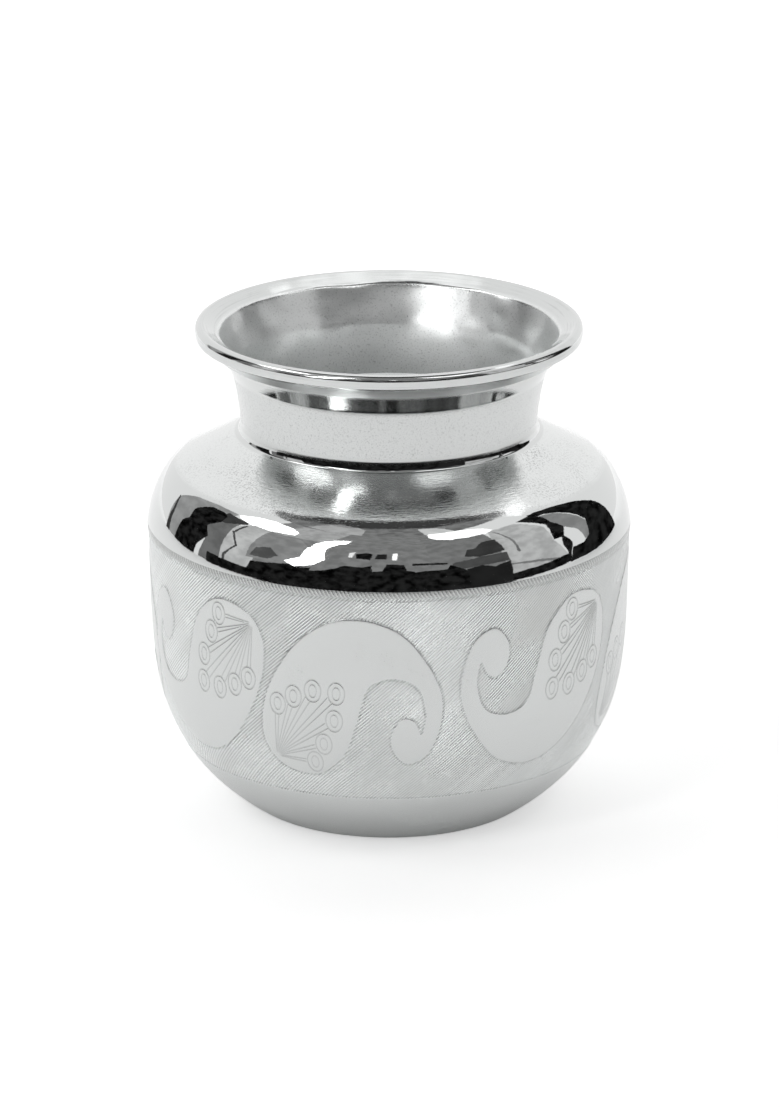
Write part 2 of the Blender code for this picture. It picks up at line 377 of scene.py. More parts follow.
# Shoulder line first, because the bowl and the collar are built to it
potShoulder = {
    "seamHeight": 65.8 * mm,
    "bellyRadius": 55.0 * mm,
    "crownBelowSeam": 3.1 * mm,
    "depth": 12.3 * mm,
    "rise": 19.3 * mm,
    "coneSlope": 27.3,
    "creaseRadius": 0.7 * mm,
    "flangeSlope": 102.0,
    "flangeHeight": 2.1 * mm,
    "flangeHollow": 4.0,  # degrees by which the flange's foot leans more and its top less
    "neckRadius": 33.5 * mm,
    "steps": 400,
    "roundRows": 60,
    "coneRows": 8,
    "creaseRows": 16,
    "flangeRows": 8,
    "innerGap": 1.2 * mm,
    "brushedFrom": (49.0, 47.6),  # radii in millimetres between which one polish gives way to the next
    "brushedTo": (34.6, 35.1),
    "roughness": 0.03,
    "colour": (0.66, 0.672, 0.668, 1.0),
    "coneColour": (0.76, 0.774, 0.769, 1.0),
    "pitColour": (0.2, 0.21, 0.21, 1.0),
    # pale steel painted on the inner face, standing in for light inside the pot
    "paintedLightColour": (0.88, 0.895, 0.89, 1.0),
}


def shoulderAngle(height):
    rise = height - potShoulder["seamHeight"] + potShoulder["crownBelowSeam"]
    return math.asin(rise / potShoulder["rise"])


def shoulderPoint(angle):
    radius = potShoulder["bellyRadius"] - potShoulder["depth"] * (1.0 - math.cos(angle))
    height = potShoulder["seamHeight"] - potShoulder["crownBelowSeam"] + potShoulder["rise"] * math.sin(angle)
    return np.array([radius, height])


def coneStartAngle():
    slope = math.tan(math.radians(potShoulder["coneSlope"]))
    return math.atan2(potShoulder["rise"], potShoulder["depth"] * slope)


def flangeFoot():
    # where the flange's line would meet the cone's
    start = shoulderPoint(coneStartAngle())
    lean = math.tan(math.radians(potShoulder["flangeSlope"]))
    radius = potShoulder["neckRadius"] - potShoulder["flangeHeight"] / lean
    rise = (start[0] - radius) * math.tan(math.radians(potShoulder["coneSlope"]))
    return np.array([radius, start[1] + rise])


def neckWeldMiddle():
    return np.array([potShoulder["neckRadius"], flangeFoot()[1] + potShoulder["flangeHeight"]])


def halfWeld():
    return sheet["weldWidth"] / 2 + sheet["gap"]


def shoulderLine():
    lowest = shoulderAngle(potShoulder["seamHeight"] + halfWeld())
    ellipse = [shoulderPoint(a) for a in np.linspace(lowest, coneStartAngle(), potShoulder["roundRows"])]
    coneSlope, flangeSlope = potShoulder["coneSlope"], potShoulder["flangeSlope"]
    footSlope, radius = flangeSlope + potShoulder["flangeHollow"], potShoulder["creaseRadius"]
    tangent = radius * math.tan(math.radians((180.0 - coneSlope - footSlope) / 2))
    centre = flangeFoot() + tangent * direction(footSlope) - radius * leftOf(footSlope)
    crease = arcLine(centre, radius, 270.0 - coneSlope, 90.0 + footSlope, potShoulder["creaseRows"])
    coneShares = np.linspace(0.0, 1.0, potShoulder["coneRows"])
    cone = [ellipse[-1] + (crease[0] - ellipse[-1]) * share for share in coneShares]
    top = neckWeldMiddle() - halfWeld() * direction(flangeSlope)
    reach = np.linalg.norm(top - crease[-1]) / 3
    footHandle = crease[-1] + reach * direction(footSlope)
    topHandle = top - reach * direction(flangeSlope - potShoulder["flangeHollow"])
    flange = curveLine(crease[-1], footHandle, topHandle, top, potShoulder["flangeRows"])
    return joinLines(ellipse, cone, crease, flange)


def shoulderFinish():
    # mirror polish on the round of the shoulder and in the crease, brushed rings and grain on the cone
    finish = Finish("mirror_and_brushed_steel")
    x, y, z, radius, along = aroundAndAlong(finish)
    place = finish.vector(x, y, z)
    rings = polishLines(finish, x, y, radius, along, 9.0, 1.6)
    wideRings = polishLines(finish, x, y, radius, along, 2.2, 2.5)
    grain = finish.noise(place, 4.5) - 0.5
    waves = finish.noise(place, 0.5) - 0.5
    cloud = finish.noise(place, 0.09, 3.0) - 0.5
    streaks = polishLines(finish, x, y, radius, along, 4.0, 4.0)
    jags = polishLines(finish, x, y, radius, along, 1.8, 24.0)
    ragged = rings * 2.6 + grain * 0.8 + cloud
    cone = finish.ease(radius + ragged, *potShoulder["brushedFrom"])
    cone = cone * finish.ease(radius + ragged * 0.3, *potShoulder["brushedTo"])
    height = rings * (cone * 0.001 + 0.0003) + wideRings * (cone * 0.012 + 0.0012) + streaks * cone * 0.003
    height = height + jags * cone * 0.034 + grain * (cone * 0.0015 + 0.0002)
    finish.bump(height + waves * (0.007 + cone * 0.012))
    inside = finish.attribute("innerFace")
    pits = finish.ease(finish.noise(place, 2.4, 3.0, 0.65), 0.5, 0.6) * cone
    pits = pits * finish.ease(cloud + wideRings * 0.3, -0.1, 0.25, 0.08, 0.5)
    steel = finish.blend(cone, potShoulder["colour"], potShoulder["coneColour"])
    steel = finish.blend(pits, steel, potShoulder["pitColour"])
    # the inner face painted pale, standing in for light inside the pot
    steel = finish.blend(inside, steel, potShoulder["paintedLightColour"])
    rough = cone * 0.005 + potShoulder["roughness"] + cloud * 0.02 + rings * cone * 0.05 + inside * 0.28
    finish.metal(steel, rough)
    return finish


print("shoulder")
shoulderOuter = shoulderLine()
shoulderInner = offsetLine(spaceLine(shoulderOuter, potShoulder["innerGap"]), sheet["wall"])
shoulder = turnLine("shoulder_shell", shoulderOuter[::-1] + shoulderInner, potShoulder["steps"], True)
keepNumbers(shoulder.data, "innerFace", 1.0 - outsideShare(vertexPlaces(shoulder.data), shoulderOuter))
finishPiece(shoulder, shoulderFinish(), "polished_steel", "shoulder")


# Bowl with the engraved belt
potBowl = {
    "restingRadius": 29.5 * mm,
    "restingWidth": 6.5 * mm,
    "recess": 0.8 * mm,
    "slopeWidth": 5.0 * mm,
    "corner": 6.1 * mm,
    "baseRise": 34.6,
    "bowlFullness": 30.4 * mm,
    "beltFullness": 26.3 * mm,
    "beltLean": 3.5,
    "sidePoints": 300,
    "rowGap": 0.72 * mm,
    "innerGap": 3.0 * mm,
    "steps": 470,
    "roughness": 0.25,
    "satinColour": (0.655, 0.668, 0.663, 1.0),
    # pale steel painted on the inner face, standing in for light inside the pot
    "paintedLightColour": (0.88, 0.895, 0.89, 1.0),
}

belt = {
    "bottom": 15.5 * mm,
    "margin": 0.4 * mm,
    "depth": 0.13 * mm,
    # below this, lengths are in millimetres and angles in degrees
    "ramp": 0.55,  # width of the slope between ground and motif
    "drop": 4.6,
    "rise": 6.1,
    "span": 44.6,
    "turns": (-52.9, -9.5, 39.4, 85.1, 129.5, 173.9, 218.3, 262.7),
    "window": (28.0, 27.0),  # how far from a motif's middle its distances are worked out
    "farthest": 8.0,
    "outlinePoints": 128,
    "fineReach": 0.75,  # how far from an outline the faces are finer
    "fanReach": (0.5, 5.0),  # the fan's far corner in its motif
    "hatchLines": 384,
    "hatchPitch": 0.8,  # along the pot's axis
    "hatchDepth": 0.13,
    "cutShadeHeights": (56.0, 64.0),  # heights between which the painted shade in the strokes darkens towards the seam
    "outlineDepth": 0.08,
    "fanDepth": 0.06,
    "groundColour": (0.80, 0.818, 0.812, 1.0),
    "cloudColour": (0.5, 0.52, 0.51, 1.0),
    # dark colour of the shade painted into the graver cuts
    "paintedCutShade": (0.25, 0.26, 0.26, 1.0),
    "origin": (-18.3, -15.4),  # where the fan's stalks meet
    "heads": ((-17.0, -2.3), (-13.0, 0.0), (-8.3, 1.8), (-2.8, 1.6), (-3.4, -5.0), (-6.1, -11.0),
              (-8.6, -15.8)),
    "ringOuter": (1.95, 2.6),
    "ringInner": (0.9, 1.5),
}
beltScale = potShoulder["bellyRadius"] / mm  # millimetres round the belt for one radian


def baseLine():
    ringInner = potBowl["restingRadius"] - potBowl["restingWidth"]
    stepInner = ringInner - potBowl["slopeWidth"]
    high = np.array([stepInner, potBowl["recess"]])
    low = np.array([ringInner, 0.0])
    handle = np.array([potBowl["slopeWidth"] / 2, 0.0])
    middle = [np.array([stepInner * share, potBowl["recess"]]) for share in (0.0, 0.35, 0.7)]
    edge = np.array([potBowl["restingRadius"], 0.0])
    step = curveLine(high, high + handle, low - handle, low, 7)
    return joinLines(middle, [middle[-1], high], step, [low, edge])


def seamPoint():
    return shoulderPoint(shoulderAngle(potShoulder["seamHeight"]))


def bowlSide():
    corner = arcLine(np.array([potBowl["restingRadius"], potBowl["corner"]]), potBowl["corner"],
                     -90.0, -90.0 + potBowl["baseRise"], 6)
    lean = direction(90.0 - potBowl["beltLean"])
    rim = seamPoint() - halfWeld() * lean
    side = curveLine(corner[-1], corner[-1] + potBowl["bowlFullness"] * direction(potBowl["baseRise"]),
                     rim - potBowl["beltFullness"] * lean, rim, potBowl["sidePoints"])
    return corner, side


def beltTop():
    return seamPoint()[1] - halfWeld() - belt["margin"]


def paisleyOutline():
    # knots as shares of half the width and half the height, from the notch round the lobe and over the top
    knots = np.array([
        (0.78, -0.44), (0.82, -0.16), (0.73, 0.16), (0.47, 0.28), (0.21, 0.16), (0.09, -0.24),
        (-0.05, -0.68), (-0.33, -0.97), (-0.62, -0.99), (-0.88, -0.85), (-1.0, -0.52), (-0.92, 0.0),
        (-0.64, 0.55), (-0.26, 0.91), (0.14, 0.99), (0.54, 0.83), (0.82, 0.47), (0.98, 0.08),
        (0.98, -0.32), (0.85, -0.68), (0.63, -0.81), (0.47, -0.63), (0.46, -0.4), (0.57, -0.22),
        (0.7, -0.26), (0.78, -0.44),
    ])
    before = np.vstack([2 * knots[0] - knots[1], knots[:-1]])
    after = np.vstack([knots[1:], 2 * knots[-1] - knots[-2]])
    slopes = (after - before) / 2
    places = np.linspace(0.0, len(knots) - 1, belt["outlinePoints"] + 1)[:-1]
    i = np.minimum(places.astype(int), len(knots) - 2)
    t = (places - i)[:, None]
    shape = (1 + 2 * t) * (1 - t) ** 2 * knots[i] + t * (1 - t) ** 2 * slopes[i]
    shape += t * t * (3 - 2 * t) * knots[i + 1] + t * t * (t - 1) * slopes[i + 1]
    halfWidth = math.radians(belt["span"]) * beltScale / 2
    halfHeight = ((beltTop() - belt["bottom"]) / mm - belt["drop"] - belt["rise"]) / 2
    return shape * (halfWidth, halfHeight)


def motifPlaces(points, number):
    # places across and up a motif, in millimetres from its middle, turned with the motif
    middle = (belt["bottom"] / mm + belt["rise"] + beltTop() / mm - belt["drop"]) / 2
    turn = np.arctan2(points[:, 0], -points[:, 1]) - np.radians(np.array(belt["turns"])[number])
    across = (turn + math.pi) % (2 * math.pi) - math.pi
    flip = np.where(number % 2, 1.0, -1.0)
    return np.stack([across * beltScale * flip, (points[:, 2] / mm - middle) * flip], axis=1)


def signedDistance(places, outline):
    # distance to the outline in millimetres, positive inside it
    nearest = np.full(len(places), np.inf)
    inside = np.zeros(len(places), bool)
    for a, b in zip(outline, np.roll(outline, -1, axis=0)):
        edge = b - a
        share = np.clip((places - a) @ edge / (edge @ edge), 0.0, 1.0)
        gap = np.linalg.norm(places - a - share[:, None] * edge, axis=1)
        nearest = np.minimum(nearest, gap)
        spans = (a[1] > places[:, 1]) != (b[1] > places[:, 1])
        crossing = a[0] + (places[:, 1] - a[1]) * edge[0] / (edge[1] if edge[1] else 1e-9)
        inside ^= spans & (places[:, 0] < crossing)
    return np.where(inside, nearest, -nearest)


def motifDistances(points):
    # for each point the distance to the nearest motif's outline, and that motif's number
    outline = paisleyOutline()
    wide, tall = belt["window"]
    best = np.full(len(points), -belt["farthest"])
    owner = np.zeros(len(points), int)
    for number in range(len(belt["turns"])):
        places = motifPlaces(points, np.full(len(points), number))
        near = np.flatnonzero((np.abs(places[:, 0]) < wide) & (np.abs(places[:, 1]) < tall))
        distance = signedDistance(places[near], outline)
        closer = distance > best[near]
        best[near[closer]] = distance[closer]
        owner[near[closer]] = number
    return best, owner


def petalPlaces(mesh, owner):
    # for each corner, its place from the nearest ring and along the nearest stalk of its motif's fan
    middles = faceMiddles(mesh)
    faceMotif = motifPlaces(middles, owner)
    heads = np.array(belt["heads"])
    origin = np.array(belt["origin"])
    ring = np.linalg.norm(faceMotif[:, None] - heads[None], axis=2).argmin(axis=1)
    stems = heads - origin
    lengths = np.linalg.norm(stems, axis=1)
    stems /= lengths[:, None]
    fromOrigin = faceMotif - origin
    sideways = np.abs(fromOrigin[:, None, 0] * stems[None, :, 1] - fromOrigin[:, None, 1] * stems[None, :, 0])
    stalk = sideways.argmin(axis=1)
    counts = readNumbers(mesh.polygons, "loop_total")
    corners = readNumbers(mesh.loops, "vertex_index")
    face = np.repeat(np.arange(len(counts)), counts)
    places = motifPlaces(vertexPlaces(mesh)[corners], owner[face])
    fromRing = np.pad(places - heads[ring[face]], ((0, 0), (0, 1)))
    stem = stems[stalk[face]]
    fromOrigin = places - origin
    along = (fromOrigin * stem).sum(axis=1)
    across = fromOrigin[:, 0] * stem[:, 1] - fromOrigin[:, 1] * stem[:, 0]
    return fromRing, np.column_stack([across, along, lengths[stalk[face]]])


def engraveBelt(piece, outer):
    # finer faces where the pattern is, then the ground pushed back from the paisleys
    low, high = belt["bottom"], beltTop()
    middles = faceMiddles(piece.data)
    distance, owner = motifDistances(middles)
    fan = (distance > 0.0) & (motifPlaces(middles, owner) < belt["fanReach"]).all(axis=1)
    shown = outsideShare(middles, outer) * (middles[:, 2] > low) * (middles[:, 2] < high) > 0.5
    splitFaces(piece, shown & ((np.abs(distance) < belt["fineReach"]) | fan))
    mesh = piece.data
    points = vertexPlaces(mesh)
    distance, _ = motifDistances(points)
    outside = outsideShare(points, outer)
    _, owner = motifDistances(faceMiddles(mesh))
    rings, stalks = petalPlaces(mesh, owner)
    keepNumbers(mesh, "motifDistance", distance)
    keepNumbers(mesh, "outerFace", outside)
    keepNumbers(mesh, "ringPlace", rings, "CORNER")
    keepNumbers(mesh, "stalkPlace", stalks, "CORNER")
    ramp = belt["ramp"]
    ground = softStep(ramp / 2, -ramp / 2, distance)
    edges = softStep(low, low + ramp * mm, points[:, 2]) * softStep(high, high - ramp * mm, points[:, 2])
    pushSurface(piece, "ground", ground * edges * outside, -belt["depth"])


def groove(finish, distance, half, soft):
    # 1 in a line of that half width, fading out over the soft distance
    return finish.ease(abs(distance), half, half + soft, 1.0, 0.0)


def bowlFinish():
    finish = Finish("satin_and_engraved_steel")
    x, y, z, radius, along = aroundAndAlong(finish)
    turn = turnFromFront(x, y)
    place = finish.vector(x, y, z)
    wobble = (finish.noise(place, 0.45) - 0.5) * 0.35
    ticks = finish.noise(place, 1.5, 1.0)
    outside = finish.attribute("outerFace") > 0.5
    distance = finish.attribute("motifDistance") + wobble
    low, high = belt["bottom"] / mm, beltTop() / mm
    inBelt = finish.ease(z, low, low + 0.25) * outside
    ground = finish.ease(distance, 0.08, -0.08) * inBelt
    # hatch: straight graver strokes that rise to the right, each a little different from the next
    stroke = turn * (-belt["hatchLines"] / (2 * math.pi)) + z / belt["hatchPitch"] + wobble * 0.25
    strokeNumber = stroke.sum("FLOOR", stroke)
    strokeShape = stroke.sum("FRACT", stroke)
    strokeDepth = finish.node("ShaderNodeTexWhiteNoise", {"noise_dimensions": "1D"}, {"W": strokeNumber}, 0)
    broken = finish.noise(finish.vector(turn * 20.0, strokeNumber * 3.1, z * 0.6), 1.0)
    cut = finish.ease(abs(strokeShape - 0.5), 0.2, 0.44) * (strokeDepth * 0.35 + 0.65)
    cut = cut * finish.ease(broken, 0.25, 0.45, 0.3)
    # outline of short graver ticks just outside the motif, and the same at the belt's edges
    outlineLine = groove(finish, distance + 0.3, 0.08, 0.3) * inBelt
    edgeLine = groove(finish, z - low - 0.3, 0.05, 0.22) + groove(finish, z - high, 0.25, 0.3)
    tickShape = finish.ease(ticks, 0.38, 0.62)
    outlineCut = (outlineLine + edgeLine * outside) * (tickShape * 0.8 + 0.35)
    # fan of rings on stalks
    ringX, ringY, _ = finish.split(finish.attribute("ringPlace", "Vector"))
    across, upStalk, length = finish.split(finish.attribute("stalkPlace", "Vector"))
    inMotif = finish.ease(distance, 0.0, 0.3) * outside * inBelt
    outerOval = ovalDistance(finish, ringX, ringY, belt["ringOuter"])
    innerOval = ovalDistance(finish, ringX, ringY, belt["ringInner"])
    ringCut = groove(finish, outerOval, 0.06, 0.2) + groove(finish, innerOval, 0.05, 0.18) * 0.8
    stalkWide = upStalk * 0.035 + 0.1
    stalkRange = finish.ease(upStalk, 0.3, 1.2) * finish.ease(length - upStalk, 2.0, 2.4)
    stalkCut = groove(finish, abs(across) - stalkWide, 0.05, 0.18) * stalkRange
    fanCut = (ringCut + stalkCut * finish.ease(outerOval, 0.0, 0.2)) * inMotif
    # polish, grain and clouds
    rings = polishLines(finish, x, y, radius, along, 5.0, 3.0)
    grain = finish.noise(place, 5.0) - 0.5
    cloud = finish.noise(place, 0.07, 3.0) - 0.5
    speckle = finish.noise(place, 1.8, 3.0) - 0.5
    inside = 1.0 - outside
    height = rings * 0.004 + grain * (0.004 + ground * 0.012) + speckle * inside * 0.02
    height = height - cut * ground * belt["hatchDepth"] - outlineCut * belt["outlineDepth"]
    finish.bump(height - fanCut * belt["fanDepth"])
    steel = finish.blend(ground, potBowl["satinColour"], belt["groundColour"])
    dull = finish.ease(cloud + speckle * 0.6, -0.15, 0.3)
    steel = finish.blend(ground * dull * 0.18, steel, belt["cloudColour"])
    # the inner face painted pale, standing in for light inside the pot
    steel = finish.blend(inside, steel, potBowl["paintedLightColour"])
    # painted shade in the outline, fan and hatch cuts, darker in the strokes towards the seam
    dark = outlineCut * 0.22 + fanCut * 0.3 + cut * ground * finish.ease(z, *belt["cutShadeHeights"], 0.4, 0.58)
    steel = finish.blend(dark, steel, belt["paintedCutShade"])
    finish.metal(steel, potBowl["roughness"] + ground * 0.03 + cloud * 0.10 + grain * 0.06 + inside * 0.02)
    return finish


def ovalDistance(finish, x, y, halves):
    # about the distance in millimetres from an upright oval's line
    reach = x / halves[0] * (x / halves[0]) + y / halves[1] * (y / halves[1])
    return (reach.root() - 1.0) * (sum(halves) / 2)


print("bowl")
bowlCorner, bowlRise = bowlSide()
bowlBase = baseLine()
bowlOuter = joinLines(bowlBase, bowlCorner, spaceLine(bowlRise, potBowl["rowGap"]))
coarseRise = spaceLine(bowlRise, potBowl["innerGap"])
bowlCoarse = joinLines(bowlBase[::2] + [bowlBase[-1]], bowlCorner[::2], coarseRise)
bowl = turnLine("bowl_shell", bowlOuter + offsetLine(bowlCoarse, sheet["wall"])[::-1], potBowl["steps"])
engraveBelt(bowl, bowlOuter)
finishPiece(bowl, bowlFinish(), "satin_steel", "bowl")
print("bowl triangles", sum(len(face.vertices) - 2 for face in bowl.data.polygons))


# Collar: neck, flare and a lip rolled down and tucked back under itself
neckCollar = {
    "neckSlope": 85.3,
    "height": 22.775 * mm,
    "overhang": 10.2 * mm,
    "flareStart": 75.0,
    "flareRadius": 10.0 * mm,
    "lipSlope": 30.0,
    "roll": 1.4 * mm,
    "faceLean": 4.0,
    "face": 1.1 * mm,
    "hem": 1.0 * mm,
    "hemSlope": 22.0,
    "tuckSlope": 50.0,
    "tuckWidth": 4.05 * mm,
    "tuckDrop": 2.95 * mm,
    "steps": 400,
    "neckRows": 14,
    "flareRows": 8,
    "flareGap": 1.2 * mm,
    "bendRows": 8,
    "rollRows": 18,
    "hemRows": 8,
    "tuckRows": 12,
    "deepStart": (102.0, 96.0),  # heights in millimetres between which one finish gives way to the next
    "neckEnd": (101.8, 101.0),
    "lipStart": (104.5, 106.5),
    "tuckStart": (109.1, 108.8),
    "roughness": 0.04,
    "colour": (0.66, 0.672, 0.668, 1.0),
    "pitColour": (0.3, 0.31, 0.31, 1.0),
    # pale steel painted inside the pot and on the tuck under the lip, standing in for light there
    "paintedLightColour": (0.9, 0.915, 0.91, 1.0),
}
# the lip's upper band and the flare under it, on the hidden side of the sheet and on the side seen
formedFlare = {"band": 1.6 * mm, "bend": 2.2 * mm, "slope": 63.0, "length": 9.0 * mm}
seenFlare = {"band": 3.4 * mm, "bend": 1.2 * mm, "slope": 67.0, "length": 7.9 * mm}


def collarStart():
    return neckWeldMiddle() + halfWeld() * direction(neckCollar["neckSlope"])


def collarStretches(shape):
    # inside of the collar from its foot to the lip, then the outside of the lip to its tucked free edge
    lipEdge = potShoulder["neckRadius"] + neckCollar["overhang"]
    lipTop = neckWeldMiddle()[1] + neckCollar["height"]
    lipSlope, flareSlope, lean = neckCollar["lipSlope"], shape["slope"], neckCollar["faceLean"]
    rollCentre = np.array([lipEdge - neckCollar["roll"], lipTop - neckCollar["roll"]])
    roll = arcLine(rollCentre, neckCollar["roll"], 90.0 + lipSlope, -lean, neckCollar["rollRows"])
    faceEnd = roll[-1] + neckCollar["face"] * direction(-90.0 - lean)
    hemSlope = neckCollar["hemSlope"]
    hem = arcLine(faceEnd - neckCollar["hem"] * direction(-lean), neckCollar["hem"], -lean, hemSlope - 90.0,
                  neckCollar["hemRows"])
    freeEdge = hem[-1] - np.array([neckCollar["tuckWidth"], neckCollar["tuckDrop"]])
    reach = np.linalg.norm(freeEdge - hem[-1]) / 3
    tuck = curveLine(hem[-1], hem[-1] - reach * direction(hemSlope),
                     freeEdge + reach * direction(neckCollar["tuckSlope"]), freeEdge, neckCollar["tuckRows"])
    bendEnd = roll[0] - shape["band"] * direction(lipSlope)
    bend = arcLine(bendEnd - shape["bend"] * leftOf(lipSlope), shape["bend"], 90.0 + flareSlope,
                   90.0 + lipSlope, neckCollar["bendRows"])
    flareStart = bend[0] - shape["length"] * direction(flareSlope)
    flare = arcLine(flareStart - neckCollar["flareRadius"] * leftOf(flareSlope), neckCollar["flareRadius"],
                    90.0 + neckCollar["flareStart"], 90.0 + flareSlope, neckCollar["flareRows"])
    foot = collarStart() + sheet["wall"] * leftOf(neckCollar["neckSlope"])
    handle = np.linalg.norm(flare[0] - foot) / 3
    neck = curveLine(foot, foot + handle * direction(neckCollar["neckSlope"]),
                     flare[0] - handle * direction(neckCollar["flareStart"]), flare[0],
                     neckCollar["neckRows"])
    rise = spaceLine([flare[-1], bend[0]], neckCollar["flareGap"])
    inside = joinLines(neck, flare, rise, bend, [bend[-1], roll[0]])
    outside = joinLines(roll, [roll[-1], faceEnd], hem, tuck)
    return inside, outside


def collarFinish():
    # satin inside with pale painted light, fine grain on the neck, bright flare and lip, and pale painted
    # light on the satin tuck under the lip
    finish = Finish("satin_and_bright_collar_steel")
    x, y, z, radius, _ = aroundAndAlong(finish)
    place = finish.vector(x, y, z)
    rings = polishLines(finish, x, y, radius, z + radius, 7.0, 2.0)
    broadRings = polishLines(finish, x, y, radius, z + radius, 1.6, 1.2)
    grain = finish.noise(place, 5.5) - 0.5
    speckle = finish.noise(place, 2.2, 3.0) - 0.5
    cloud = finish.noise(place, 0.12, 3.0) - 0.5
    waves = finish.noise(finish.vector(x, y, z * 1.4), 0.07, 1.0) - 0.5
    inside = finish.ease(finish.attribute("insidePlace") + cloud * 1.2, -0.7, 1.4)
    deep = finish.ease(z, *neckCollar["deepStart"]) * inside
    neck = finish.ease(z + broadRings * 0.5, *neckCollar["neckEnd"]) * (1.0 - inside)
    lip = finish.ease(z, *neckCollar["lipStart"]) * (1.0 - inside)
    height = rings * (0.0012 + inside * 0.004 + neck * 0.003 + lip * 0.002)
    height = height + broadRings * (0.004 + lip * 0.004) + grain * (0.0005 + inside * 0.010 + neck * 0.010)
    height = height + speckle * (inside * 0.03 + neck * 0.012)
    finish.bump(height + waves * (inside - deep * 0.7) * 1.5)
    pits = finish.ease(finish.noise(place, 2.6, 3.0, 0.65), 0.54, 0.68) * (neck * 0.45 + inside * 0.4)
    # the inside painted pale, standing in for light inside the pot
    steel = finish.blend(inside, neckCollar["colour"], neckCollar["paintedLightColour"])
    smears = finish.ease(broadRings * 1.5 + cloud, 0.0, 0.4) * lip * 0.22
    steel = finish.blend(pits + smears, steel, neckCollar["pitColour"])
    # the tuck under the lip painted pale, standing in for light on its underside
    tuck = lip * finish.ease(z, *neckCollar["tuckStart"])
    steel = finish.blend(tuck * 0.8, steel, neckCollar["paintedLightColour"])
    satin = neck * 0.17 + inside * 0.28 + deep * 0.22 + tuck * 0.3
    rough = neckCollar["roughness"] + lip * 0.06 + satin + cloud * 0.04 + speckle * inside * 0.2
    finish.metal(steel, rough)
    return finish


print("collar")
collarInside, lipOutside = collarStretches(seenFlare)
collarLine = joinLines(collarInside, lipOutside)
collarOther = offsetLine(joinLines(*collarStretches(formedFlare)), -sheet["wall"])
collar = turnLine("neck_and_lip", collarOther[::-1] + collarLine, neckCollar["steps"], True)
collarPoints = vertexPlaces(collar.data)
fromInside, insideAlong = nearestOnLine(collarPoints, collarInside)
_, insideLength = nearestOnLine(np.array([(collarInside[-1][0], 0.0, collarInside[-1][1])]), collarInside)
toBand = (insideLength[0] - seenFlare["band"] - insideAlong) / mm
keepNumbers(collar.data, "insidePlace", np.where(fromInside < 0.1 * mm, toBand, -5.0))
finishPiece(collar, collarFinish(), "polished_steel", "neck_collar")


# Welds, ground flush outside and proud inside
bellyRing = {"blend": 0.1, "steps": 400, "tone": 0.56, "ticks": 384}
neckRing = {"blend": 0.6, "steps": 400, "tone": 0.62, "ticks": 0}
# dark colour for the shade painted into the graver ticks and for the grain's random tone
grainAndTickShadeColour = (0.12, 0.125, 0.125, 1.0)


def weldLine(low, high, startSlope, endSlope, blend):
    # the outside follows the two sheets, and turns from one to the other at a share of the weld's height
    span = np.linalg.norm(high - low)
    outside = curveLine(low, low + span * blend * 0.8 * direction(startSlope),
                        high - span * (1.0 - blend) * 0.9 * direction(endSlope), high, 10)
    lowInner = low + sheet["wall"] * leftOf(startSlope)
    highInner = high + sheet["wall"] * leftOf(endSlope)
    root = (lowInner + highInner) / 2 + sheet["weldRoot"] * leftOf((startSlope + endSlope) / 2)
    inside = curveLine(lowInner, (lowInner + root) / 2, root, root, 3)
    inside = joinLines(inside, curveLine(root, root, (highInner + root) / 2, highInner, 3))
    return outside[::-1] + inside


def weldFinish(name, ring):
    # ground steel, with a row of graver ticks along the seam where there is a count of them, shade painted
    # into the ticks
    finish, tone, ticks = Finish(name), ring["tone"], ring["ticks"]
    x, y, z, radius, along = aroundAndAlong(finish)
    grain = finish.noise(finish.vector(x, y, z), 4.0, 3.0) - 0.5
    rings = polishLines(finish, x, y, radius, along, 8.0, 4.0)
    tick = turnFromFront(x, y) * (ticks / (2 * math.pi)) + z * 0.6 + grain * 0.8
    tick = finish.ease(abs(tick.sum("FRACT", tick) - 0.5), 0.12, 0.4) * (1.0 if ticks else 0.0)
    finish.bump(rings * 0.004 + grain * 0.004 - tick * 0.03)
    # painted shade in the ticks, and random grain tone, towards the dark colour
    steel = finish.blend(tick * 0.4 + grain * 0.5, (tone, tone * 1.02, tone * 1.01, 1.0), grainAndTickShadeColour)
    finish.metal(steel, 0.09 + grain * 0.06)
    return finish


print("welds")
ellipseSlope = math.degrees(math.atan2(*(shoulderOuter[1] - shoulderOuter[0])[::-1]))
beltSlope = 90.0 - potBowl["beltLean"]
bellyLine = weldLine(bowlOuter[-1], shoulderOuter[0], beltSlope, ellipseSlope, bellyRing["blend"])
bellyWeld = turnLine("belly_weld_ring", bellyLine, bellyRing["steps"], True)
finishPiece(bellyWeld, weldFinish("ground_belly_weld", bellyRing), "weld_steel", "belly_weld")
topSlope = potShoulder["flangeSlope"] - potShoulder["flangeHollow"]
neckLine = weldLine(shoulderOuter[-1], collarStart(), topSlope, neckCollar["neckSlope"], neckRing["blend"])
neckWeld = turnLine("neck_weld_ring", neckLine, neckRing["steps"], True)
finishPiece(neckWeld, weldFinish("ground_neck_weld", neckRing), "weld_steel", "neck_weld")


